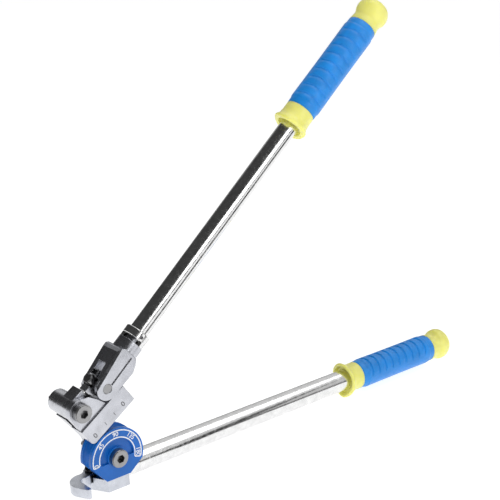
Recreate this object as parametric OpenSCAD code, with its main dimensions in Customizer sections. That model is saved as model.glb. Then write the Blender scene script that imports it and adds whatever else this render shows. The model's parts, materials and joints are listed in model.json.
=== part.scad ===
// Manual tube bender with a calibrated former, a slide shoe on a swinging arm,
// a swivelling upper handle and a vise heel under the head.
// Frame: origin on the former's axis at the middle of its groove, +X along the
// lower handle towards its grip, +Y towards the back of the tool, +Z up.

/* [Former] */
// Outer radius of the former's two flanges
former_r = 31; // [28:0.5:34]
// Thickness of the former
former_t = 20; // [18:1:22]
// Outside diameter of the tube that the bender takes
tube_d = 12; // [10:0.5:12]
// Radius of the bend at the middle of the tube
bend_r = 32; // [31:0.5:34]

/* [Arm] */
// Where the arm stands on the former's scale, in degrees from its zero mark
scale_angle = 56.6; // [20:0.1:90]
// Distance of the shoe's pin outwards from the former's axis
knuckle_out = 69.5; // [68:0.5:72]
// Distance of the shoe's pin forwards along the shoe
knuckle_fwd = 3.5; // [0:0.5:5]
// Distance of the clevis pin outwards from the former's axis
clevis_pin_out = 68.6; // [67:0.1:70]
// Distance of the clevis pin forwards along the shoe
clevis_pin_fwd = 37.2; // [36:0.1:39]
// Radius of the arm's barrel
barrel_r = 12; // [11:0.5:12.5]

/* [Handles] */
// Direction of the upper handle above the lower one, in degrees
handle_angle = 39.7; // [35:0.1:45]
// Outside diameter of the upper handle's tube
upper_d = 20.2; // [19:0.1:21]
// Outside diameter of the lower handle's tube
lower_d = 24.8; // [24:0.1:25]
// Wall of both handle tubes
tube_wall = 2.2; // [1.5:0.1:2.5]
// Distance of the lower handle behind the groove's middle
lower_y = 39.5; // [39.5:0.5:42]
// Height of the lower handle's axis, below the former's axis
lower_z = -40.3; // [-42:0.1:-39]
// Place of the lower guard's flange along the lower handle
lower_guard_x = 350; // [320:1:370]
// Place of the upper guard's flange, measured from the clevis pin
upper_guard_x = 336; // [310:1:350]

/* [Grips] */
// Diameter of both grips at their middle
grip_d = 35; // [32:0.5:35]
// Length of both grips
grip_l = 120; // [100:1:130]
// Diameter of the guards' flanges
guard_d = 42; // [40:0.5:42]
// Length of a guard from its flange to the grip
guard_l = 21; // [18:1:26]
// Length of an end cap
cap_l = 34; // [30:1:38]
// Largest diameter of an end cap
cap_d = 37; // [35:0.5:38]

/* [Hidden] */
$fn = 96;
half_t = former_t / 2;
groove_r = tube_d / 2 + 0.2;
arm_angle = 90 - scale_angle;
swivel_angle = handle_angle - arm_angle;
gap = 0.3;

// Former and its seat
flat_z = -22.5;
hub_r = 11;
recess_r = 19.6;
recess_d = 2.5;
bolt_r = 6;
bore_r = bolt_r + 0.05;
bolt_head_r = 9.4;
bolt_head_h = 6.5;
key_r = 2.5;
key_pos = [-11, -12];

// Head casting
plate_back = 26.5;
heel_front = -8;
heel_bottom = -36;
boss_r = 14.5;
boss_x = [2, 18];
spigot_l = 42;
socket_pin_x = boss_x[1] + 7;

// Tube latch
latch_pin = [-18, 17];
latch_z = [-28, -18];
latch_r = 16.8;
latch_pin_r = 3;

// Arm
link_y = [27, 33];
link_boss_r = 13.5;
block_in = 25;
ear_y = [-8, -1];
shoe_in = 32.2;
shoe_out = 53.2;
shoe_step = 1.6;
shoe_back = -9.6;
shoe_fwd = 52;
knuckle_r = 5;
bush_t = 1.5;
clevis_pin_r = 4.9;
clevis_boss_r = 8.7;
tongue_t = 11;

// Clevis
cheek_in = half_t + gap;
cheek_out = 15;
cheek_r = 12;
web_in = 9.6;
slot_w = 12.4;
slot_end = 19.5;
neck_s = 34;
collar_s = [41, 52];
collar_r = 13.6;
slot_s = [collar_s[1] - 0.1, 57];
ring_end = 65.5;

// Detent button
button_s = -2.7;
button_v = [11.6, 16.5];
button_r = 5.2;
button_neck_r = 4;
button_neck_v = 8.4;
button_hole_v = 5.6;
spring_r = 2.2;
spring_wire = 0.4;
spring_top_v = 13;

// ---- helpers ----

// Extrudes an outline drawn in X and Z along Y, from y0 to y1
module slab(y0, y1) {
    translate([0, y1, 0]) rotate([90, 0, 0]) linear_extrude(y1 - y0) children();
}

// A cylinder along Y at a point [x, z]
module cyl_y(p, r, y0, y1) {
    translate([p[0], y1, p[1]]) rotate([90, 0, 0]) cylinder(r = r, h = y1 - y0);
}

// A cylinder along X
module cyl_x(x0, x1, r) {
    translate([x0, 0, 0]) rotate([0, 90, 0]) cylinder(r = r, h = x1 - x0);
}

// Turns a profile of [distance, radius] points about the X axis
module turned(points) {
    rotate([0, 90, 0]) rotate_extrude()
        polygon([for (p = points) [p[1], p[0]]]);
}

// The arm's own frame: X runs forwards along the shoe, Z outwards from the former's axis
module arm_frame() {
    rotate([0, -arm_angle, 0]) children();
}

// The frame of the arm's tongue: it starts at the clevis pin and leans with the handle
module tongue_frame() {
    translate([clevis_pin_fwd, 0, clevis_pin_out]) rotate([0, -swivel_angle, 0]) children();
}

// The upper handle's own frame: X runs along the handle from the clevis pin
module handle_frame() {
    arm_frame() tongue_frame() children();
}

// The lower handle's own frame: its axis is X
module lower_frame() {
    translate([0, lower_y, lower_z]) children();
}

// A hexagonal socket along Y, sunk from y0 to y1
module hex_socket(p, across, y0, y1) {
    translate([p[0], y1, p[1]]) rotate([90, 0, 0])
        cylinder(r = across / sqrt(3), h = y1 - y0, $fn = 6);
}

knuckle = [knuckle_fwd, knuckle_out];
clevis_at = [clevis_pin_fwd, clevis_pin_out];

// ---- lower handle ----

module head_casting() {
    color("silver") difference() {
        union() {
            // plate behind the former
            slab(half_t, plate_back) union() {
                circle(20);
                polygon([[-19.9, 0], [-22.5, -22], [-22.5, -34], [-20, heel_bottom],
                    [boss_x[1], heel_bottom], [19.9, 0]]);
            }
            // heel that carries the former's flat and goes in a vise
            translate([0, 0, heel_bottom]) linear_extrude(flat_z - heel_bottom)
                polygon([[-12, heel_front], [12.5, heel_front], [13.5, heel_front + 1],
                    [14.5, half_t], [-21, half_t]]);
            // bridge back to the handle's boss
            translate([0, 0, heel_bottom]) linear_extrude(10)
                polygon([[-12, plate_back - 1], [-6, lower_y], [boss_x[1] - 1, lower_y],
                    [boss_x[1] - 1, plate_back - 1]]);
            lower_frame() {
                cyl_x(boss_x[0], boss_x[1], boss_r);
                translate([boss_x[0], 0, 0]) sphere(boss_r);
                cyl_x(boss_x[1] - 1, boss_x[1] + spigot_l, lower_d / 2 - tube_wall);
            }
            // lug under the tube latch
            translate([latch_pin[0], latch_pin[1], heel_bottom])
                cylinder(r = 8, h = latch_z[0] - gap - heel_bottom);
        }
        // pocket that the latch's eye turns in
        translate([latch_pin[0], latch_pin[1], latch_z[0] - gap])
            cylinder(r = 8.6, h = latch_z[1] - latch_z[0] + 6);
        translate([-40, latch_pin[1] - 9, latch_z[0] - gap])
            cube([40 + latch_pin[0], 30, latch_z[1] - latch_z[0] + 6]);
        translate([latch_pin[0], latch_pin[1], heel_bottom - 1]) cylinder(r = latch_pin_r, h = 20);
        cyl_y([0, 0], bolt_r, half_t - 1, plate_back + 1);
        cyl_y(key_pos, key_r, half_t - 1, half_t + 7);
        translate([socket_pin_x, lower_y - 20, lower_z]) rotate([-90, 0, 0]) cylinder(r = 2, h = 40);
        // room for the arm's boss behind the plate
        cyl_y([0, 0], link_boss_r + 1.5, plate_back, plate_back + 30);
    }
}

module lower_tube() {
    x0 = boss_x[1];
    x1 = lower_guard_x + guard_l + grip_l + 4;
    color("gainsboro") difference() {
        lower_frame() difference() {
            cyl_x(x0, x1, lower_d / 2);
            cyl_x(x0 - 1, x1 + 1, lower_d / 2 - tube_wall);
        }
        translate([socket_pin_x, lower_y - 20, lower_z]) rotate([-90, 0, 0]) cylinder(r = 2, h = 40);
    }
}

module lower_tube_pin() {
    len = lower_d - 0.6;
    color("dimgray") translate([socket_pin_x, lower_y - len / 2, lower_z])
        rotate([-90, 0, 0]) cylinder(r = 2, h = len);
}

// Soft bell in front of a grip; the handle's tube has radius r
module guard(r) {
    turned([[-1.5, guard_d / 2 - 1.5], [0, guard_d / 2], [1.8, guard_d / 2], [4, guard_d / 2 - 1.8],
        [8, grip_d / 2 + 0.2], [13, grip_d / 2 - 1.4], [guard_l, grip_d / 2 - 1], [guard_l, r],
        [5, r], [2.5, r + 3], [0, guard_d / 2 - 4]]);
}

// Soft grip with a plain band at each end
module grip(r) {
    band = 3;
    turned([[0, grip_d / 2 - 0.6], [0.6, grip_d / 2], [band, grip_d / 2], [band + 1, grip_d / 2 - 0.9],
        [band + 2, grip_d / 2 - 0.4], [grip_l * 0.45, grip_d / 2],
        [grip_l - band - 2, grip_d / 2 - 1.2], [grip_l - band - 1, grip_d / 2 - 1.7],
        [grip_l - band, grip_d / 2 - 0.8], [grip_l - 0.6, grip_d / 2 - 0.8],
        [grip_l, grip_d / 2 - 1.4], [grip_l, r], [0, r]]);
}

// Soft end cap: a neck, a mushroom rim and a domed end
module end_cap(r) {
    plug = 4;
    turned([[0, r], [0, grip_d / 2 - 1.5], [3, grip_d / 2 - 2.2], [7, cap_d / 2 - 3.5],
        [12, cap_d / 2 - 0.6], [16, cap_d / 2], [20, cap_d / 2 - 0.8], [cap_l - 8, cap_d / 2 - 4],
        [cap_l - 3, cap_d / 2 - 9], [cap_l - 0.6, 5], [cap_l, 0], [plug + 0.2, 0], [plug + 0.2, r]]);
}

module lower_guard() {
    color("khaki") lower_frame() translate([lower_guard_x, 0, 0]) guard(lower_d / 2);
}

module lower_grip() {
    color("dodgerblue") lower_frame() translate([lower_guard_x + guard_l, 0, 0]) grip(lower_d / 2);
}

module lower_end_cap() {
    color("khaki") lower_frame() translate([lower_guard_x + guard_l + grip_l, 0, 0])
        end_cap(lower_d / 2);
}

// ---- former ----

module former() {
    color("royalblue") difference() {
        slab(-half_t, half_t) intersection() {
            circle(former_r, $fn = 180);
            polygon([[-50, -2.3], [-former_r, -2.3], [-14, flat_z], [14, flat_z],
                [29.3, -10.2], [50, -10.2], [50, 50], [-50, 50]]);
        }
        // groove that the tube is bent in
        rotate([90, 0, 0]) rotate_extrude($fn = 180) translate([bend_r, 0]) circle(groove_r);
        // relief round the hub, in the face's upper half
        slab(-half_t - 1, -half_t + recess_d) difference() {
            intersection() {
                circle(recess_r);
                polygon([[-30, -4], [-hub_r, -4], [hub_r, -2], [30, -2], [30, 30], [-30, 30]]);
            }
            circle(hub_r);
        }
        cyl_y([0, 0], bore_r, -half_t - 1, half_t + 1);
        cyl_y(key_pos, key_r, half_t - 7, half_t + 1);
    }
}

module former_key() {
    color("dimgray") cyl_y(key_pos, key_r, half_t - 7, half_t + 7);
}

module pivot_bolt() {
    color("lightgray") difference() {
        union() {
            cyl_y([0, 0], bolt_r, -half_t - 0.5, 44);
            cyl_y([0, 0], bolt_head_r, -half_t - bolt_head_h + 1, -half_t);
            cyl_y([0, 0], bolt_head_r - 0.8, -half_t - bolt_head_h, -half_t);
        }
        hex_socket([0, 0], 8, -half_t - bolt_head_h - 1, -half_t - 1.5);
    }
}

module pivot_washers() {
    color("gray") for (y = [[plate_back, link_y[0] - 0.05], [link_y[1] + 0.05, link_y[1] + 1.5]])
        difference() {
            cyl_y([0, 0], 11, y[0], y[1]);
            cyl_y([0, 0], bolt_r, y[0] - 1, y[1] + 1);
        }
}

module pivot_nut() {
    y0 = link_y[1] + 1.5;
    color("gray") difference() {
        translate([0, y0 + 8, 0]) rotate([90, 0, 0]) cylinder(r = 19 / sqrt(3), h = 8, $fn = 6);
        cyl_y([0, 0], bolt_r, y0 - 1, y0 + 9);
    }
}

// ---- tube latch ----

module tube_latch() {
    high = latch_z[1] - latch_z[0];
    color("silver") translate([0, 0, latch_z[0]]) difference() {
        union() {
            // hook round the tube's back and side
            intersection() {
                translate([-bend_r, 0, 0]) cylinder(r = latch_r, h = high);
                union() {
                    translate([-bend_r - 30, 0, 0]) cube([30.4, 30, high]);
                    translate([-bend_r - 30, -10, 0]) cube([24.4, 11, high]);
                }
            }
            // finger that reaches to the front
            linear_extrude(high) polygon([[-47.2, -6], [-45.6, -11.2], [-41.8, -18.4], [-40.6, -19.3],
                [-38.2, -18.6], [-37.6, -16], [-38.4, -6]]);
            // arm back to the eye
            linear_extrude(high) polygon([[-bend_r - 1, 15.8], [-27, 17], latch_pin + [-2, 6],
                latch_pin + [0, -6], [-bend_r + 8, groove_r + 0.7], [-bend_r - 1, groove_r - 0.8]]);
            translate([latch_pin[0], latch_pin[1], 0]) cylinder(r = 6.6, h = high);
        }
        translate([-bend_r, 0, -1]) cylinder(r = groove_r, h = high + 2);
        translate([latch_pin[0], latch_pin[1], -1]) cylinder(r = latch_pin_r + 0.05, h = high + 2);
    }
}

module latch_pin() {
    color("dimgray") translate([latch_pin[0], latch_pin[1], 0]) {
        translate([0, 0, heel_bottom]) cylinder(r = latch_pin_r, h = latch_z[1] + 0.2 - heel_bottom);
        translate([0, 0, latch_z[1] + 0.1]) cylinder(r = 5, h = 2.2);
    }
}

// ---- arm ----

module arm_link() {
    block_y = half_t + 0.6;
    top_out = knuckle_out + barrel_r - 0.3;
    color("silver") arm_frame() difference() {
        union() {
            // back link
            cyl_y([0, 0], link_boss_r, link_y[0], link_y[1]);
            slab(link_y[0], link_y[1]) polygon([[-9, 9], [-4, 24], [-4.6, 42], [-5.5, 62],
                [knuckle_fwd, knuckle_out], [15.2, 68], [14.6, 26], [10, 8], [0, 2]]);
            // thick part under the barrel
            slab(block_y, link_y[0] + 1) polygon([[-9.2, 64], [-8.2, 50], [-7, 38], [-6.6, 28],
                [-3, block_in], [10, block_in + 1], [15.5, 32], [15.2, 66], [knuckle_fwd, knuckle_out]]);
            cyl_y(knuckle, barrel_r, ear_y[1] + gap, link_y[1] + 1);
            // body between the barrel and the clevis pin
            slab(ear_y[1] + gap, half_t - 0.4) polygon([[knuckle_fwd, knuckle_out - 2],
                [knuckle_fwd + 2, 58.5], [clevis_pin_fwd, clevis_pin_out - clevis_boss_r + 0.1],
                [clevis_pin_fwd + 3, 66], [clevis_pin_fwd - 8, 68], [knuckle_fwd + 8, 70]]);
            cyl_y(clevis_at, clevis_boss_r, -half_t, half_t);
            // tongue that stands in the clevis's slot
            tongue_frame() slab(-tongue_t / 2, tongue_t / 2) polygon([[-11, -1.8], [-14.9, 8.3],
                [-14.6, 13.4], [-8.6, 12.4], [-8.3, 9], [2.7, 9], [2.9, 13.8], [3.6, 14.5],
                [10, 14.5], [10.6, 13.9], [10.6, 9], [7, 1.5], [0, -2]]);
            // flat top of the barrel
            slab(ear_y[1] + gap, half_t + 6) polygon([[knuckle_fwd, knuckle_out - 1], [20, 67.5],
                [20.5, 80.8], [knuckle_fwd, top_out]]);
        }
        cyl_y([0, 0], bolt_r + bush_t, link_y[0] - 1, link_y[1] + 1);
        cyl_y(knuckle, knuckle_r, -20, 40);
        cyl_y(clevis_at, clevis_pin_r, -half_t - 1, half_t + 1);
        tongue_frame() translate([button_s, 0, button_hole_v])
            cylinder(r = button_neck_r + 0.08, h = 30);
        // pocket in the tongue's tip
        tongue_frame() translate([4.3, -3.9, 11]) cube([4.9, 7.8, 6]);
    }
}

module pivot_bush() {
    color("darkgoldenrod") difference() {
        cyl_y([0, 0], bolt_r + bush_t, link_y[0], link_y[1]);
        cyl_y([0, 0], bolt_r + 0.05, link_y[0] - 1, link_y[1] + 1);
    }
}

module shoe_bolt() {
    head_y = [ear_y[0] - 7, ear_y[0] - gap];
    color("lightgray") arm_frame() difference() {
        union() {
            cyl_y(knuckle, knuckle_r, ear_y[0] - 0.5, link_y[1] + 8);
            cyl_y(knuckle, 9.4, head_y[0] + 1, head_y[1]);
            cyl_y(knuckle, 8.6, head_y[0], head_y[1]);
        }
        hex_socket(knuckle, 8, head_y[0] - 1, head_y[0] + 4.5);
    }
}

module shoe_bolt_nut() {
    y0 = link_y[1] + 1;
    color("gray") arm_frame() difference() {
        translate([knuckle[0], y0 + 6, knuckle[1]]) rotate([90, 0, 0])
            cylinder(r = 15 / sqrt(3), h = 6, $fn = 6);
        cyl_y(knuckle, knuckle_r, y0 - 1, y0 + 7);
    }
}

module clevis_pin() {
    color("lightgray") arm_frame() difference() {
        cyl_y(clevis_at, clevis_pin_r, -cheek_out + 0.4, cheek_out + 2.4);
        // groove of the clip at the back
        difference() {
            cyl_y(clevis_at, clevis_pin_r + 1, cheek_out + 0.3, cheek_out + 1.3);
            cyl_y(clevis_at, clevis_pin_r - 0.7, cheek_out, cheek_out + 2);
        }
    }
}

module clevis_pin_clips() {
    color("dimgray") arm_frame() slab(cheek_out + 0.35, cheek_out + 1.25)
        translate(clevis_at) difference() {
            circle(7);
            circle(clevis_pin_r - 0.7);
            translate([0, -8]) rotate(-30) square([16, 6]);
        }
}

// ---- shoe ----

module forming_shoe() {
    color("lightgray") arm_frame() difference() {
        union() {
            slab(-half_t, half_t) difference() {
                translate([shoe_back, shoe_in]) square([shoe_fwd - shoe_back, shoe_out - shoe_in]);
                // rounded rear corner
                translate([shoe_back, shoe_in]) difference() {
                    translate([-1, -1]) square(6);
                    translate([5, 5]) circle(5);
                }
            }
            // ear round the bolt
            slab(ear_y[0], ear_y[1]) union() {
                translate(knuckle) circle(barrel_r + 0.5);
                polygon([[shoe_back + 0.6, shoe_out - 2], [knuckle_fwd - barrel_r - 0.5, knuckle_out],
                    [knuckle_fwd + 4, knuckle_out + 11.8], [19.3, 74.4], [24.1, 65.1],
                    [27.5, 55.4], [28.5, shoe_out - 2]]);
            }
        }
        // half groove along the tube
        translate([shoe_back - 1, 0, bend_r]) cyl_x(0, shoe_fwd - shoe_back + 2, groove_r);
        cyl_y(knuckle, knuckle_r + bush_t, -20, 20);
    }
}

module shoe_bush() {
    color("darkgoldenrod") arm_frame() difference() {
        cyl_y(knuckle, knuckle_r + bush_t, ear_y[0], ear_y[1]);
        cyl_y(knuckle, knuckle_r + 0.05, ear_y[0] - 1, ear_y[1] + 1);
    }
}

// ---- detent button ----

module detent_button() {
    color("darkgray") arm_frame() tongue_frame() translate([button_s, 0, 0]) difference() {
        union() {
            translate([0, 0, button_neck_v]) cylinder(r = button_neck_r, h = 6);
            translate([0, 0, button_v[0]]) cylinder(r = button_r, h = button_v[1] - button_v[0] - 0.8);
            translate([0, 0, button_v[0]]) cylinder(r = button_r - 0.8, h = button_v[1] - button_v[0]);
        }
        // cup that the spring pushes in
        translate([0, 0, button_neck_v - 1]) cylinder(r = spring_r + spring_wire + 0.15,
            h = spring_top_v + 0.1 - button_neck_v + 1);
    }
}

module detent_spring() {
    turns = 6;
    pitch = (spring_top_v - button_hole_v) / turns;
    outer = [for (i = [0 : turns - 1]) each [[spring_r + spring_wire, (i + 0.3) * pitch],
        [spring_r + spring_wire, (i + 0.5) * pitch], [spring_r + 0.1, (i + 0.9) * pitch]]];
    inner = [for (i = [turns - 1 : -1 : 0]) each [[spring_r - 0.1, (i + 0.9) * pitch],
        [spring_r - spring_wire, (i + 0.5) * pitch], [spring_r - spring_wire, (i + 0.3) * pitch]]];
    color("gray") arm_frame() tongue_frame() translate([button_s, 0, button_hole_v])
        rotate_extrude() polygon(concat(outer, inner));
}

// ---- upper handle ----

module cheek_2d() {
    circle(cheek_r);
    polygon([[0, cheek_r], [2.4, cheek_r], [neck_s, 16], [38.5, 14.5], [collar_s[0], 11.5],
        [collar_s[0], -6.5], [35.5, -10.7], [28.3, -13.7], [11.6, -12.4], [0, -cheek_r]]);
}

module clevis() {
    rake = atan2(16 - cheek_r, neck_s - 2.4);
    color("silver") handle_frame() difference() {
        union() {
            for (side = [-1, 1])
                slab(side > 0 ? cheek_in : -cheek_out, side > 0 ? cheek_out : -cheek_in) cheek_2d();
            // web that joins the cheeks, and the solid neck
            slab(-cheek_in - 0.5, cheek_in + 0.5) intersection() {
                cheek_2d();
                union() {
                    translate([2.4, web_in]) square([60, 30]);
                    translate([neck_s, -30]) square([60, 60]);
                }
            }
            cyl_x(neck_s, collar_s[1], collar_r);
            cyl_x(collar_s[0], collar_s[1] + 34, upper_d / 2 - tube_wall);
        }
        // slot that passes the arm's tongue
        translate([-20, -slot_w / 2, web_in - 4]) cube([slot_end + 20 - 2, slot_w, 20]);
        translate([slot_end - 2, 0, web_in - 4]) linear_extrude(20) intersection() {
            circle(slot_w / 2, $fn = 48);
            square([4, slot_w], center = true);
        }
        // line along each cheek
        for (side = [-1, 1])
            translate([5.6, side * cheek_out, -1]) rotate([45, 0, 0]) translate([0, -0.8, -0.8])
                cube([33, 1.6, 1.6]);
        // bevels along the web's two long edges
        for (side = [-1, 1])
            translate([2.4, side * cheek_out, cheek_r]) rotate([0, -rake, 0]) rotate([45, 0, 0])
                cube([90, 3.2, 3.2], center = true);
        cyl_y([0, 0], clevis_pin_r + 0.05, -20, 20);
        for (side = [-1, 1])
            translate([0, side * cheek_out, 0]) rotate([90 * side, 0, 0]) translate([0, 0, -1])
                cylinder(r1 = clevis_pin_r + 1.1, r2 = clevis_pin_r + 0.05, h = 1.6);
        pin_hole(1.8, 40);
    }
}

// The cross pin through the ring, the tube and the spigot, in the handle's frame
module pin_hole(r, len) {
    translate([slot_s[1] + 3.4, 0, 0]) rotate([-10, 0, 0])
        translate([0, -len / 2, 0]) rotate([-90, 0, 0]) cylinder(r = r, h = len);
}

module handle_collar() {
    color("gainsboro") handle_frame() difference() {
        turned([[collar_s[1], upper_d / 2], [collar_s[1], collar_r - 0.4], [slot_s[1], collar_r - 0.4],
            [slot_s[1] + 0.4, collar_r], [ring_end - 0.8, collar_r], [ring_end, collar_r - 0.8],
            [ring_end, upper_d / 2]]);
        // transverse slot
        rotate([27, 0, 0]) translate([slot_s[0], -20, 4.6]) cube([slot_s[1] - slot_s[0], 40, 20]);
        pin_hole(1.8, 40);
    }
}

module collar_pin() {
    len = 2 * collar_r - 2.4;
    color("dimgray") handle_frame() pin_hole(1.8, len);
}

module upper_tube() {
    x1 = upper_guard_x + guard_l + grip_l + 4;
    color("gainsboro") handle_frame() difference() {
        cyl_x(slot_s[1] - 0.4, x1, upper_d / 2);
        cyl_x(slot_s[1] - 2, x1 + 1, upper_d / 2 - tube_wall);
        pin_hole(1.8, 40);
    }
}

module upper_guard() {
    color("khaki") handle_frame() translate([upper_guard_x, 0, 0]) guard(upper_d / 2);
}

module upper_grip() {
    color("dodgerblue") handle_frame() translate([upper_guard_x + guard_l, 0, 0]) grip(upper_d / 2);
}

module upper_end_cap() {
    color("khaki") handle_frame() translate([upper_guard_x + guard_l + grip_l, 0, 0])
        end_cap(upper_d / 2);
}

head_casting();
lower_tube();
lower_tube_pin();
lower_guard();
lower_grip();
lower_end_cap();
former();
former_key();
pivot_bolt();
pivot_washers();
pivot_nut();
tube_latch();
latch_pin();
arm_link();
pivot_bush();
shoe_bolt();
shoe_bolt_nut();
forming_shoe();
shoe_bush();
clevis_pin();
clevis_pin_clips();
detent_button();
detent_spring();
clevis();
handle_collar();
collar_pin();
upper_tube();
upper_guard();
upper_grip();
upper_end_cap();
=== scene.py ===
import json
import math

import bpy
from mathutils import Matrix, Vector


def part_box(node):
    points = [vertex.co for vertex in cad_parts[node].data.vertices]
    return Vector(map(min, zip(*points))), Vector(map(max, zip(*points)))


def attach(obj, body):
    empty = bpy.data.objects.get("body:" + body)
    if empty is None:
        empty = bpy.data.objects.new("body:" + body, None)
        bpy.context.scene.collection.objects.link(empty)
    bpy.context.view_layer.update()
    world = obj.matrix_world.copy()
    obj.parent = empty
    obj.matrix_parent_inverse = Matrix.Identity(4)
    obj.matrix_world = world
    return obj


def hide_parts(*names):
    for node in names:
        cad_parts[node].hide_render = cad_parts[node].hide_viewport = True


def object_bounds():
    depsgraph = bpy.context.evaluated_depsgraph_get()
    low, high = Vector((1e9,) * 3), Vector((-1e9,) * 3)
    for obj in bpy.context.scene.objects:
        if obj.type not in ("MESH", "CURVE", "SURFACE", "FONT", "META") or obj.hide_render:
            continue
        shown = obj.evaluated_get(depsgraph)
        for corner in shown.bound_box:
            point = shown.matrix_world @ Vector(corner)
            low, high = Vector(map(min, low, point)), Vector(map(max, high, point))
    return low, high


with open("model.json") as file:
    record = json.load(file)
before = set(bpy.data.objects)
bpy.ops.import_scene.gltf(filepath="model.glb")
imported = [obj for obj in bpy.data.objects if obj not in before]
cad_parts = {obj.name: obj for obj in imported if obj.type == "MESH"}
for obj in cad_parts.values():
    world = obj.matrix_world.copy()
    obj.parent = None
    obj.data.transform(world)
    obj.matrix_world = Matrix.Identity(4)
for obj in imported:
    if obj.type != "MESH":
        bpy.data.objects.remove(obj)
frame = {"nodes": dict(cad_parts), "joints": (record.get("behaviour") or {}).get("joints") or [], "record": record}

CAD_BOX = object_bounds()
MM = 0.001
FACE_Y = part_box("former")[0].y  # the former's front face
SEGMENTS = 112  # sides of a turned piece


# ---------------------------------------------------------------- frames

def joint(name):
    return next(j for j in frame["joints"] if j["name"] == name)


def axes_matrix(origin, x_axis, y_axis, z_axis):
    """A matrix that takes local axes to the given ones, at origin."""
    m = Matrix((x_axis, y_axis, z_axis)).transposed().to_4x4()
    m.translation = origin
    return m


def span(node, origin, direction):
    """The lowest and highest distance of a node's points along direction."""
    d = [(v.co - origin).dot(direction) for v in frame["nodes"][node].data.vertices]
    return min(d), max(d)


X, Y, Z = Vector((1, 0, 0)), Vector((0, 1, 0)), Vector((0, 0, 1))
low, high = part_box("lower_tube")
LOWER = axes_matrix(Vector((0, (low.y + high.y) / 2, (low.z + high.z) / 2)), X, Y, Z)
V_AXIS = -Vector(joint("detent_press")["axis"]).normalized()
U_AXIS = Y.cross(V_AXIS)
CLEVIS_PIN = Vector(joint("handle_swivel")["pos_m"])
UPPER = axes_matrix(CLEVIS_PIN, U_AXIS, Y, V_AXIS)
# Directions along the shoe and outwards from the former, at rest
ARM_ALONG = Vector((0.8348, 0, 0.5505))
ARM_OUT = Vector((-0.5505, 0, 0.8348))


# ---------------------------------------------------------------- node helpers

def new_material(name):
    m = bpy.data.materials.new(name)
    m.use_nodes = True
    tree = m.node_tree
    shader = tree.nodes["Principled BSDF"]
    return m, tree, shader


def node(tree, kind, **values):
    n = tree.nodes.new(kind)
    for key, value in values.items():
        setattr(n, key, value)
    return n


def noise(tree, scale, detail=4.0, rough=0.55):
    place = node(tree, "ShaderNodeTexCoord")
    n = node(tree, "ShaderNodeTexNoise")
    n.inputs["Scale"].default_value = scale
    n.inputs["Detail"].default_value = detail
    n.inputs["Roughness"].default_value = rough
    tree.links.new(place.outputs["Object"], n.inputs["Vector"])
    return n.outputs["Fac"]


def ramp(tree, source, stops):
    r = node(tree, "ShaderNodeValToRGB")
    r.color_ramp.elements[0].position, r.color_ramp.elements[0].color = stops[0]
    r.color_ramp.elements[1].position, r.color_ramp.elements[1].color = stops[-1]
    for position, color in stops[1:-1]:
        e = r.color_ramp.elements.new(position)
        e.color = color
    tree.links.new(source, r.inputs["Fac"])
    return r.outputs["Color"]


def grey(value):
    return (value, value, value, 1)


def tint(color, factor):
    return tuple(min(1.0, c * factor) for c in color[:3]) + (1,)


def bump(tree, source, distance, strength, normal=None):
    b = node(tree, "ShaderNodeBump")
    b.inputs["Strength"].default_value = strength
    b.inputs["Distance"].default_value = distance
    tree.links.new(source, b.inputs["Height"])
    if normal is not None:
        tree.links.new(normal, b.inputs["Normal"])
    return b.outputs["Normal"]


def rounded(tree, radius):
    """A normal that rounds the CAD's sharp edges by radius."""
    b = node(tree, "ShaderNodeBevel")
    b.samples = 6
    b.inputs["Radius"].default_value = radius
    return b.outputs["Normal"]


def edge_mask(tree, radius, low_at, high_at):
    """1 along edges, 0 on flat faces."""
    soft = rounded(tree, radius)
    hard = node(tree, "ShaderNodeNewGeometry")
    dot = node(tree, "ShaderNodeVectorMath", operation="DOT_PRODUCT")
    tree.links.new(soft, dot.inputs[0])
    tree.links.new(hard.outputs["Normal"], dot.inputs[1])
    span_node = node(tree, "ShaderNodeMapRange")
    span_node.inputs["From Min"].default_value = low_at
    span_node.inputs["From Max"].default_value = high_at
    span_node.inputs["To Min"].default_value = 1.0
    span_node.inputs["To Max"].default_value = 0.0
    tree.links.new(dot.outputs["Value"], span_node.inputs["Value"])
    return span_node.outputs["Result"]


def crevice(tree, distance, darkest):
    """Painted shade: a grey from ambient occlusion that darkens the colour inside slots and corners."""
    n = node(tree, "ShaderNodeAmbientOcclusion", samples=6)
    n.inputs["Distance"].default_value = distance
    return ramp(tree, n.outputs["AO"], [(0.15, grey(darkest)), (0.75, grey(1.0))])


def mix(tree, factor, a, b):
    m = node(tree, "ShaderNodeMix", data_type="RGBA")
    tree.links.new(factor, m.inputs["Factor"])
    for value, socket in ((a, m.inputs[6]), (b, m.inputs[7])):
        if isinstance(value, tuple):
            socket.default_value = value
        else:
            tree.links.new(value, socket)
    return m.outputs[2]


# ---------------------------------------------------------------- materials

def metal(name, color, rough, grain=0.00006, grain_scale=900, edge=0.0005, wear=1.25, blotch=0.10,
          shade=0.35):
    """Cast or machined steel: broad blotches, worn edges, painted shade in crevices and a fine grain."""
    m, tree, shader = new_material(name)
    shader.inputs["Metallic"].default_value = 1.0
    broad = noise(tree, 60, 5)
    base = ramp(tree, broad, [(0.3, tint(color, 1 - blotch)), (0.7, tint(color, 1 + blotch))])
    worn = edge_mask(tree, edge, 0.80, 0.97)
    dark = node(tree, "ShaderNodeVectorMath", operation="MULTIPLY")
    tree.links.new(mix(tree, worn, base, tint(color, wear)), dark.inputs[0])
    # painted shade: ambient occlusion darkens the base colour in slots and corners
    tree.links.new(crevice(tree, 0.012, shade), dark.inputs[1])
    tree.links.new(dark.outputs["Vector"], shader.inputs["Base Color"])
    fine = noise(tree, grain_scale, 3)
    tree.links.new(ramp(tree, noise(tree, 160, 4), [(0.3, grey(rough * 0.8)), (0.7, grey(rough * 1.25))]),
                   shader.inputs["Roughness"])
    tree.links.new(bump(tree, fine, grain, 0.5, rounded(tree, edge)), shader.inputs["Normal"])
    return m


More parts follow.
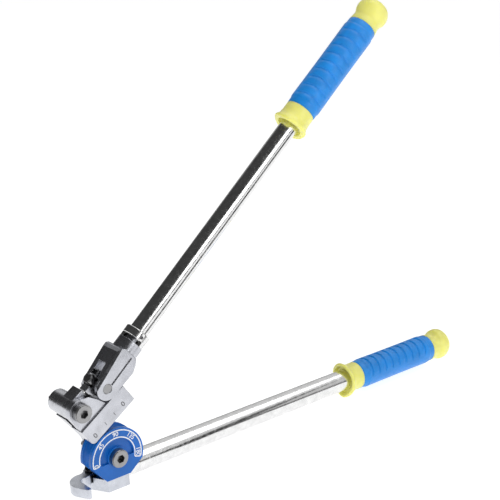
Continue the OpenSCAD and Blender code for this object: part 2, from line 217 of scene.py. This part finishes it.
def chrome(name):
    """Plated tube: mottled, with a slight ripple."""
    m, tree, shader = new_material(name)
    shader.inputs["Metallic"].default_value = 1.0
    tree.links.new(ramp(tree, noise(tree, 110, 5, 0.7), [(0.3, grey(0.68)), (0.7, grey(0.86))]),
                   shader.inputs["Base Color"])
    tree.links.new(ramp(tree, noise(tree, 220, 5), [(0.35, grey(0.13)), (0.7, grey(0.26))]),
                   shader.inputs["Roughness"])
    tree.links.new(bump(tree, noise(tree, 420, 4), 0.00006, 0.35), shader.inputs["Normal"])
    return m


def paint(name, color, rough=0.32):
    """Paint on metal, paler where an edge is worn."""
    m, tree, shader = new_material(name)
    base = ramp(tree, noise(tree, 45, 5), [(0.3, tint(color, 0.85)), (0.7, tint(color, 1.15))])
    worn = edge_mask(tree, 0.0006, 0.78, 0.95)
    tree.links.new(mix(tree, worn, base, tint(color, 1.9)), shader.inputs["Base Color"])
    tree.links.new(ramp(tree, noise(tree, 120, 4), [(0.3, grey(rough * 0.85)), (0.7, grey(rough * 1.25))]),
                   shader.inputs["Roughness"])
    shader.inputs["Specular IOR Level"].default_value = 0.35
    shader.inputs["Coat Weight"].default_value = 0.1
    shader.inputs["Coat Roughness"].default_value = 0.2
    tree.links.new(bump(tree, noise(tree, 500, 3), 0.00005, 0.4, rounded(tree, 0.0006)),
                   shader.inputs["Normal"])
    return m


def rubber_blue(name, color):
    """Matt moulded rubber with a fine grain."""
    m, tree, shader = new_material(name)
    base = ramp(tree, noise(tree, 55, 6, 0.65), [(0.3, tint(color, 0.86)), (0.7, tint(color, 1.14))])
    tree.links.new(base, shader.inputs["Base Color"])
    tree.links.new(ramp(tree, noise(tree, 200, 5), [(0.3, grey(0.36)), (0.7, grey(0.5))]),
                   shader.inputs["Roughness"])
    shader.inputs["Sheen Weight"].default_value = 0.12
    shader.inputs["Sheen Roughness"].default_value = 0.4
    tree.links.new(bump(tree, noise(tree, 1600, 4), 0.0001, 0.35), shader.inputs["Normal"])
    return m


def soft_vinyl(name, color):
    """Soft dipped vinyl that lets a little light in."""
    m, tree, shader = new_material(name)
    base = ramp(tree, noise(tree, 40, 5), [(0.3, tint(color, 0.93)), (0.7, tint(color, 1.06))])
    tree.links.new(base, shader.inputs["Base Color"])
    tree.links.new(ramp(tree, noise(tree, 150, 4), [(0.3, grey(0.28)), (0.7, grey(0.4))]),
                   shader.inputs["Roughness"])
    shader.inputs["Subsurface Weight"].default_value = 0.6
    shader.inputs["Subsurface Radius"].default_value = (0.006, 0.006, 0.0015)
    shader.inputs["Subsurface Scale"].default_value = 1.0
    tree.links.new(bump(tree, noise(tree, 300, 3), 0.00006, 0.3), shader.inputs["Normal"])
    return m


def ink(name, color):
    """Flat printing ink."""
    m, tree, shader = new_material(name)
    tree.links.new(ramp(tree, noise(tree, 700, 4), [(0.35, tint(color, 0.88)), (0.65, tint(color, 1.0))]),
                   shader.inputs["Base Color"])
    tree.links.new(ramp(tree, noise(tree, 400, 3), [(0.3, grey(0.4)), (0.7, grey(0.55))]),
                   shader.inputs["Roughness"])
    return m


def floor_material(name):
    """Pale floor that glows a little, so that it stays white away from the lights."""
    m, tree, shader = new_material(name)
    tree.links.new(ramp(tree, noise(tree, 3, 3), [(0.3, grey(0.42)), (0.7, grey(0.44))]),
                   shader.inputs["Base Color"])
    shader.inputs["Roughness"].default_value = 0.9
    shader.inputs["Specular IOR Level"].default_value = 0.1
    shader.inputs["Emission Color"].default_value = grey(1.0)
    shader.inputs["Emission Strength"].default_value = 0.86
    return m


# Base colours are linear. The numbers after a metal's colour are its roughness, the height of its
# grain in metres and the scale of that grain.
MATERIALS = {
    "casting": metal("casting", (0.56, 0.58, 0.63), 0.30, 0.00012, 600, blotch=0.16),
    "arm_steel": metal("arm_steel", (0.52, 0.53, 0.56), 0.26, 0.00011, 650, blotch=0.18),
    "shoe_steel": metal("shoe_steel", (0.53, 0.54, 0.58), 0.28, 0.00010, 650, blotch=0.14),
    "bolt_steel": metal("bolt_steel", (0.33, 0.33, 0.335), 0.30, 0.00005, 1200),
    "dark_steel": metal("dark_steel", (0.16, 0.16, 0.17), 0.38),
    "bush_bronze": metal("bush_bronze", (0.50, 0.36, 0.16), 0.34),
    "tube_chrome": chrome("tube_chrome"),
    "former_blue": paint("former_blue", (0.003, 0.125, 0.50)),
    "grip_blue": rubber_blue("grip_blue", (0.008, 0.255, 0.76)),
    "soft_yellow": soft_vinyl("soft_yellow", (0.90, 0.87, 0.24)),
}
SCALE_INK = ink("scale_ink", (0.86, 0.88, 0.92))
MARK_INK = metal("mark_recess", (0.20, 0.20, 0.21), 0.5)
FLAG_BLACK = ink("flag_black", (0.02, 0.02, 0.02))


def dress_cad_nodes():
    slots = {s["node"]: s["material_slot"] for s in frame["record"]["subparts"]}
    for name, obj in frame["nodes"].items():
        obj.data.materials.clear()
        obj.data.materials.append(MATERIALS[slots[name]])


# ---------------------------------------------------------------- mesh helpers

def add_object(name, verts, faces, material, body, matrix=None, smooth=True):
    mesh = bpy.data.meshes.new(name)
    mesh.from_pydata([tuple(matrix @ Vector(v)) if matrix else tuple(v) for v in verts], [], faces)
    mesh.update()
    for p in mesh.polygons:
        p.use_smooth = smooth
    mesh.materials.append(material)
    obj = bpy.data.objects.new(name, mesh)
    bpy.context.scene.collection.objects.link(obj)
    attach(obj, body)
    return obj


def smooth_curve(points, steps):
    """Points on a smooth curve through the given ones."""
    out = []
    for i in range(len(points) - 1):
        p0 = points[max(i - 1, 0)]
        p1, p2 = points[i], points[i + 1]
        p3 = points[min(i + 2, len(points) - 1)]
        for k in range(steps):
            t = k / steps
            out.append(tuple(
                0.5 * (2 * b + (c - a) * t + (2 * a - 5 * b + 4 * c - d) * t * t
                       + (3 * b - a - 3 * c + d) * t ** 3)
                for a, b, c, d in zip(p0, p1, p2, p3)))
    out.append(points[-1])
    return out


def turned(profile, shape, closed=True, tip=False):
    """Verts and faces of a profile of (distance, radius) turned about X, in millimetres.
    shape(distance, radius, angle) moves a point. Angle 0 is +Y and a quarter turn is +Z."""
    verts, faces = [], []
    for s, r in profile:
        for k in range(SEGMENTS):
            a = 2 * math.pi * k / SEGMENTS
            ds, dr = shape(s, r, a)
            verts.append(((s + ds) * MM, (r + dr) * MM * math.cos(a), (r + dr) * MM * math.sin(a)))
    rows = len(profile)
    for i in range(rows if closed else rows - 1):
        j = (i + 1) % rows
        for k in range(SEGMENTS):
            n = (k + 1) % SEGMENTS
            faces.append((i * SEGMENTS + k, j * SEGMENTS + k, j * SEGMENTS + n, i * SEGMENTS + n))
    if tip:
        faces.append(tuple(range(SEGMENTS)))
        faces.append(tuple(reversed(range((rows - 1) * SEGMENTS, rows * SEGMENTS))))
    return verts, faces


def fade(x, edge0, edge1):
    """0 below edge0, 1 above edge1 and smooth between."""
    t = min(1.0, max(0.0, (x - edge0) / (edge1 - edge0)))
    return t * t * (3 - 2 * t)


def angle_gap(a, b):
    """The smaller angle between two directions, in radians."""
    return abs((a - b + math.pi) % (2 * math.pi) - math.pi)


# ---------------------------------------------------------------- grips, guards, caps

# Millimetres
GRIP_R = 17.5
BAND = 7.5  # length of the plain band at each end of a grip
BAND_R = 16.75
GROOVES = 9
GROOVE_DEPTH = 1.25
GROOVE_INSET = 15  # from a grip's end to its first groove
GROOVE_BOW = 1.6
GROOVE_STEEP, GROOVE_SOFT = 0.55, 2.6  # widths of a groove's two sides
GROOVE_EDGE = math.radians(44), math.radians(62)  # where a groove fades out round the grip
RIM_R = 20.7  # of a guard
NECK_R = 16.45  # of a guard
GUARD_LOBE = 1.1
FLANGE = 1.5
CAP_R = 18.6


def grip(name, replaced, body, matrix, tube_r, centre):
    """Moulded grip: a plain band at each end, and finger grooves on two sides."""
    start, end = span(replaced, matrix.translation, matrix.to_3x3() @ X)
    length = (end - start) / MM
    pitch = (length - 2 * GROOVE_INSET) / (GROOVES - 1)

    def shape(s, r, a):
        if r < 15.5:
            return 0, 0
        near = min(angle_gap(a, centre), angle_gap(a, centre + math.pi))
        wide = 1 - fade(near, *GROOVE_EDGE)
        bow = GROOVE_BOW * (near / math.radians(55)) ** 2
        cut = 0.0
        for k in range(GROOVES):
            x = s - (GROOVE_INSET + k * pitch) + bow
            cut = max(cut, math.exp(-(x / (GROOVE_STEEP if x > 0 else GROOVE_SOFT)) ** 2))
        return 0, -GROOVE_DEPTH * cut * wide

    outline = [(0.0, tube_r), (0.0, 15.2), (0.25, 16.2), (0.9, 16.6), (BAND - 0.8, BAND_R),
               (BAND, 16.8), (BAND + 0.7, 17.35), (BAND + 2, GRIP_R)]
    steps = int(length / GROOVE_STEEP)
    first, last = BAND + 2.5, length - BAND - 2.5
    for k in range(steps + 1):
        s = first + (last - first) * k / steps
        outline.append((s, GRIP_R - 0.25 * math.sin(math.pi * (s - first) / (last - first))))
    outline += [(length - BAND - 2, 17.45), (length - BAND - 0.7, 17.3), (length - BAND, BAND_R),
                (length - BAND + 0.8, 16.7), (length - 0.9, 16.6), (length - 0.25, 16.2),
                (length, 15.2), (length, tube_r)]
    verts, faces = turned(outline, shape)
    place = matrix @ Matrix.Translation((start, 0, 0))
    obj = add_object(name, verts, faces, MATERIALS["grip_blue"], body, place)
    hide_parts(replaced)


def guard(name, replaced, body, matrix, tube_r, corner):
    """Soft bell in front of a grip: a lobed rim round a recess, and a smooth neck."""
    start, end = span(replaced, matrix.translation, matrix.to_3x3() @ X)
    length = (end - start) / MM

    def shape(s, r, a):
        w = (1 - fade(s, 4, 12)) * fade(r, 12, 18)
        gap = angle_gap(a, corner)
        lobe = -0.9 + GUARD_LOBE * math.cos(2 * (a - corner))
        point = GUARD_LOBE * math.exp(-(gap / math.radians(16)) ** 2)
        return -GUARD_LOBE * w * math.cos(2 * (a - corner)), w * (lobe * 0.8 + point)

    outer = smooth_curve([(FLANGE - 0.9, 20.0), (FLANGE, RIM_R), (FLANGE + 1.6, RIM_R),
                          (FLANGE + 3.2, 19.6), (FLANGE + 6, 17.9), (FLANGE + 9, 16.95),
                          (FLANGE + 12.5, 16.5), (length - 1.2, NECK_R), (length - 0.2, 16.1),
                          (length - 0.05, 15.2)], 5)
    inner = smooth_curve([(FLANGE + 3.5, tube_r + 0.1), (FLANGE + 3.2, tube_r + 2.6),
                          (FLANGE + 2.4, tube_r + 3.4), (FLANGE + 0.4, tube_r + 4.2),
                          (FLANGE - 0.8, tube_r + 5.2), (FLANGE - 1.2, 19.0),
                          (FLANGE - 0.9, 20.0)], 4)
    profile = outer + [(length - 0.05, tube_r), (FLANGE + 6, tube_r)] + inner[:-1]
    verts, faces = turned(profile, shape)
    place = matrix @ Matrix.Translation((start, 0, 0))
    obj = add_object(name, verts, faces, MATERIALS["soft_yellow"], body, place)
    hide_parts(replaced)


def end_cap(name, replaced, body, matrix, tube_r, corner):
    """Soft cap: a neck, a waist, a rolled rim and a domed end with a shallow dimple."""
    start, end = span(replaced, matrix.translation, matrix.to_3x3() @ X)
    length = (end - start) / MM

    def shape(s, r, a):
        w = fade(s, 8, 15) * (1 - fade(s, 24, 30)) * fade(r, 6, 14)
        return 0, 0.5 * w * math.cos(2 * (a - corner))

    outer = smooth_curve([(0.05, 15.2), (0.3, 16.1), (1.2, 16.4), (5, 15.9), (8.5, 15.4), (12, 16.3),
                          (15.5, 18.0), (19, CAP_R), (23, 18.2), (27, 16.4), (30.5, 12.8),
                          (length - 1.2, 7.6), (length - 0.7, 3.4), (length - 1.0, 0.4)], 5)
    profile = [(4.4, 0.4), (4.4, tube_r), (0.05, tube_r)] + outer
    verts, faces = turned(profile, shape, closed=False, tip=True)
    place = matrix @ Matrix.Translation((start, 0, 0))
    obj = add_object(name, verts, faces, MATERIALS["soft_yellow"], body, place)
    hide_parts(replaced)


def tube_radius(name, matrix):
    across = span(name, matrix.translation, matrix.to_3x3() @ Y)
    return (across[1] - across[0]) / 2 / MM


def build_handle(side, body, matrix, groove_centre, corner):
    """The soft pieces of one handle. groove_centre and corner are angles round its tube."""
    r = tube_radius(f"{side}_tube", matrix)
    guard(f"{side}_guard_bell", f"{side}_guard", body, matrix, r, corner)
    grip(f"{side}_grip_moulded", f"{side}_grip", body, matrix, r, groove_centre)
    end_cap(f"{side}_cap_soft", f"{side}_end_cap", body, matrix, r, corner)


# ---------------------------------------------------------------- scale on the former

STROKE_SPREAD = 0.012  # thickens the strokes, as a share of the size
INK_HEIGHT = 0.00015
SCALE_OUTER, SCALE_INNER = 0.0285, 0.0210
SCALE_FROM, SCALE_TO = 188.0, -17.0  # degrees, from +X towards +Z
SCALE_CORNER = 2.4  # degrees cut off at each corner of the outline
SCALE_LINE = 0.0012
ARC_STEPS, END_STEPS = 90, 6
DIGIT_SIZE = 0.0068
END_SHIFT = {0: 4, 180: -5}  # degrees that the first and last numbers stand in from their marks


def polar(radius, degrees):
    return radius * math.cos(math.radians(degrees)), radius * math.sin(math.radians(degrees))


def strip(path, width):
    """The two edges of a flat strip along a closed path of (x, z)."""
    n = len(path)
    left, right = [], []
    for i in range(n):
        a, b = path[(i - 1) % n], path[(i + 1) % n]
        dx, dz = b[0] - a[0], b[1] - a[1]
        k = width / 2 / math.hypot(dx, dz)
        left.append((path[i][0] - dz * k, path[i][1] + dx * k))
        right.append((path[i][0] + dz * k, path[i][1] - dx * k))
    return left, right


def raised_strip(name, path, width, y_back, height, material, body):
    """A closed raised line that stands out from y_back towards the front."""
    left, right = strip(path, width)
    n = len(path)
    verts = []
    for y in (y_back, y_back - height):
        verts += [(x, y, z) for x, z in left] + [(x, y, z) for x, z in right]
    back_l, back_r, front_l, front_r = 0, n, 2 * n, 3 * n
    faces = []
    for i in range(n):
        j = (i + 1) % n
        faces.append((front_l + i, front_l + j, front_r + j, front_r + i))
        faces.append((back_l + i, back_r + i, back_r + j, back_l + j))
        faces.append((back_l + i, back_l + j, front_l + j, front_l + i))
        faces.append((back_r + i, front_r + i, front_r + j, back_r + j))
    return add_object(name, verts, faces, material, body, smooth=False)


def lettering(name, text, size, matrix, depth, material, body):
    """Raised characters in the local XY plane of matrix."""
    curve = bpy.data.curves.new(name, "FONT")
    curve.body = text
    curve.size = size
    curve.align_x = "CENTER"
    curve.align_y = "CENTER"
    curve.extrude = depth
    curve.offset = size * STROKE_SPREAD
    source = bpy.data.objects.new(name + "_source", curve)
    bpy.context.scene.collection.objects.link(source)
    bpy.context.view_layer.update()
    graph = bpy.context.evaluated_depsgraph_get()
    mesh = bpy.data.meshes.new_from_object(source.evaluated_get(graph))
    bpy.data.objects.remove(source)
    mesh.transform(matrix)
    mesh.materials.clear()
    mesh.materials.append(material)
    obj = bpy.data.objects.new(name, mesh)
    bpy.context.scene.collection.objects.link(obj)
    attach(obj, body)
    return obj


def build_scale():
    sweep = SCALE_TO - SCALE_FROM + 2 * SCALE_CORNER
    depth = SCALE_OUTER - SCALE_INNER
    path = []
    for k in range(ARC_STEPS + 1):
        path.append(polar(SCALE_OUTER, SCALE_FROM - SCALE_CORNER + sweep * k / ARC_STEPS))
    for k in range(1, END_STEPS):
        path.append(polar(SCALE_OUTER - depth * k / END_STEPS, SCALE_TO))
    for k in range(ARC_STEPS + 1):
        path.append(polar(SCALE_INNER, SCALE_TO + SCALE_CORNER - sweep * k / ARC_STEPS))
    for k in range(1, END_STEPS):
        path.append(polar(SCALE_INNER + depth * k / END_STEPS, SCALE_FROM))
    outline = raised_strip("scale_outline", path, SCALE_LINE, FACE_Y, INK_HEIGHT, SCALE_INK,
                           "lower_frame")
    middle = (SCALE_OUTER + SCALE_INNER) / 2
    for number in range(0, 181, 45):
        degrees = 180 - number + END_SHIFT.get(number, 0)
        x, z = polar(middle, degrees)
        turn = math.radians(degrees - 90)
        right = Vector((math.cos(turn), 0, math.sin(turn)))
        up = Vector((-math.sin(turn), 0, math.cos(turn)))
        place = axes_matrix(Vector((x, FACE_Y, z)), right, up, -Y)
        digits = lettering(f"scale_{number}", str(number), DIGIT_SIZE, place, INK_HEIGHT, SCALE_INK,
                           "lower_frame")


# ---------------------------------------------------------------- marks on the shoe

MARK_ROW = 38.4 * MM  # height of the row of marks above the former's axis, at rest
MARK_HEIGHT = 0.0001
RING_SIZE, LINE_SIZE = 0.0078, 0.0055
SHOE_MARKS = ((-1.5, "0"), (14.0, "l"), (27.0, "l"), (40.0, "0"))  # millimetres along the shoe


def build_shoe_marks():
    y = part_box("forming_shoe")[0].y
    for k, (t, text) in enumerate(SHOE_MARKS):
        centre = ARM_ALONG * (t * MM) + ARM_OUT * MARK_ROW + Y * y
        place = axes_matrix(centre, ARM_ALONG, ARM_OUT, -Y)
        size = RING_SIZE if text == "0" else LINE_SIZE
        mark = lettering(f"shoe_mark_{k}", text, size, place, MARK_HEIGHT, MARK_INK, "shoe")


# ---------------------------------------------------------------- detent spring

WIRE_R, COIL_R = 0.0004, 0.0022
TURNS, TURN_STEPS, WIRE_SIDES = 6, 28, 10


def build_spring():
    """The wound spring that replaces the ribbed sleeve."""
    bottom, top = span("detent_spring", CLEVIS_PIN, V_AXIS)
    middle = sum(span("detent_spring", CLEVIS_PIN, U_AXIS)) / 2
    steps, ring = TURNS * TURN_STEPS, WIRE_SIDES
    verts, faces = [], []
    for i in range(steps + 1):
        a = 2 * math.pi * TURNS * i / steps
        rise = bottom + WIRE_R + (top - bottom - 2 * WIRE_R) * i / steps
        radial = U_AXIS * math.cos(a) + Y * math.sin(a)
        centre = CLEVIS_PIN + U_AXIS * middle + radial * COIL_R + V_AXIS * rise
        for k in range(ring):
            b = 2 * math.pi * k / ring
            verts.append(centre + radial * (WIRE_R * math.cos(b)) + V_AXIS * (WIRE_R * math.sin(b)))
    for i in range(steps):
        for k in range(ring):
            n = (k + 1) % ring
            faces.append((i * ring + k, (i + 1) * ring + k, (i + 1) * ring + n, i * ring + n))
    faces.append(tuple(range(ring)))
    faces.append(tuple(reversed(range(steps * ring, (steps + 1) * ring))))
    obj = add_object("detent_coil", verts, faces, MATERIALS["dark_steel"], "arm")
    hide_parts("detent_spring")


# ---------------------------------------------------------------- stage

FLOOR_HALF, FLOOR_GAP = 14.0, 0.001


def card(name, corners, material):
    """A flat four-cornered piece of the stage."""
    mesh = bpy.data.meshes.new(name)
    mesh.from_pydata([tuple(v) for v in corners], [], [(0, 1, 2, 3)])
    mesh.materials.append(material)
    obj = bpy.data.objects.new(name, mesh)
    bpy.context.scene.collection.objects.link(obj)
    return obj


def build_stage():
    h, z = FLOOR_HALF, CAD_BOX[0][2] - FLOOR_GAP
    card("floor", [(-h, -h, z), (h, -h, z), (h, h, z), (-h, h, z)], floor_material("floor"))


def softbox(name, place, target, width, height, power, in_gloss=True):
    light = bpy.data.lights.new(name, "AREA")
    light.shape = "RECTANGLE"
    light.size, light.size_y = width, height
    light.energy = power
    obj = bpy.data.objects.new(name, light)
    obj.location = place
    obj.rotation_euler = (Vector(target) - Vector(place)).to_track_quat("-Z", "Y").to_euler()
    obj.visible_glossy = in_gloss
    bpy.context.scene.collection.objects.link(obj)


def flag(name, middle, length, width, along, facing_to):
    """A black studio card that only the gloss of the metal sees."""
    u = Vector(along).normalized()
    n = (Vector(facing_to) - Vector(middle)).normalized()
    w = n.cross(u).normalized()
    c = Vector(middle)
    corners = [c + u * (i * length / 2) + w * (k * width / 2)
               for i, k in ((-1, -1), (1, -1), (1, 1), (-1, 1))]
    obj = card(name, corners, FLAG_BLACK)
    obj.visible_camera = False
    obj.visible_diffuse = False
    obj.visible_shadow = False
    obj.visible_transmission = False


LIT_POINT = (0.2, 0.02, 0.1)
FLAG_POINT = CLEVIS_PIN + U_AXIS * 0.26  # on the upper tube
FLAG_OFFSET = Vector((0.64, -0.70, -0.34)) * 0.34
FLAG_LENGTH, FLAG_WIDTH = 0.50, 0.12
LEFT_DARK, LEFT_BRIGHT = 0.0, 0.28  # the world fades from dark to bright between these X
LEFT_GREY = 0.06
WORLD_STRENGTH = 0.85


def build_light():
    softbox("overhead", (0.9, -0.3, 1.7), LIT_POINT, 1.6, 1.2, 8)
    softbox("key", (0.4, -1.9, 0.9), LIT_POINT, 1.0, 0.8, 8)
    softbox("fill", (-1.6, -0.6, 1.2), LIT_POINT, 1.4, 1.4, 18, in_gloss=False)
    flag("flag_front", FLAG_POINT + FLAG_OFFSET, FLAG_LENGTH, FLAG_WIDTH, U_AXIS, FLAG_POINT)
    world = bpy.data.worlds.new("studio")
    bpy.context.scene.world = world
    world.use_nodes = True
    tree = world.node_tree
    place = node(tree, "ShaderNodeTexCoord")
    split = node(tree, "ShaderNodeSeparateXYZ")
    tree.links.new(place.outputs["Generated"], split.inputs["Vector"])
    sky = ramp(tree, split.outputs["Z"], [(0.0, grey(0.8)), (0.03, grey(0.03)), (0.12, grey(0.05)),
                                          (0.24, grey(0.75)), (1.0, grey(0.9))])
    side = node(tree, "ShaderNodeMapRange", interpolation_type="SMOOTHSTEP")
    side.inputs["From Min"].default_value = LEFT_BRIGHT
    side.inputs["From Max"].default_value = LEFT_DARK
    tree.links.new(split.outputs["X"], side.inputs["Value"])
    flagged = mix(tree, side.outputs["Result"], sky, grey(LEFT_GREY))
    tree.links.new(flagged, tree.nodes["Background"].inputs["Color"])
    tree.nodes["Background"].inputs["Strength"].default_value = WORLD_STRENGTH


SENSOR_WIDTH, LENS = 36.0, 92.68  # millimetres
CLIP_END = 60.0
CAMERA_PLACE = Vector((-0.60117, -1.02443, 0.57808))
CAMERA_RIGHT = Vector((0.77959, -0.62393, -0.05441))
CAMERA_BACK = Vector((-0.58309, -0.75477, 0.30056))


def build_camera():
    data = bpy.data.cameras.new("camera")
    data.sensor_width = SENSOR_WIDTH
    data.lens = LENS
    data.clip_end = CLIP_END
    camera = bpy.data.objects.new("camera", data)
    right = CAMERA_RIGHT.normalized()
    back = (CAMERA_BACK - right * CAMERA_BACK.dot(right)).normalized()
    up = back.cross(right)
    camera.matrix_world = axes_matrix(CAMERA_PLACE, right, up, back)
    bpy.context.scene.collection.objects.link(camera)
    bpy.context.scene.camera = camera


build_camera()
dress_cad_nodes()
build_handle("lower", "lower_frame", LOWER, math.radians(122), math.radians(-90))
build_handle("upper", "upper_handle", UPPER, math.radians(137), math.radians(-60))
build_scale()
build_shoe_marks()
build_spring()
build_stage()
build_light()
bpy.context.scene.view_settings.view_transform = "Standard"
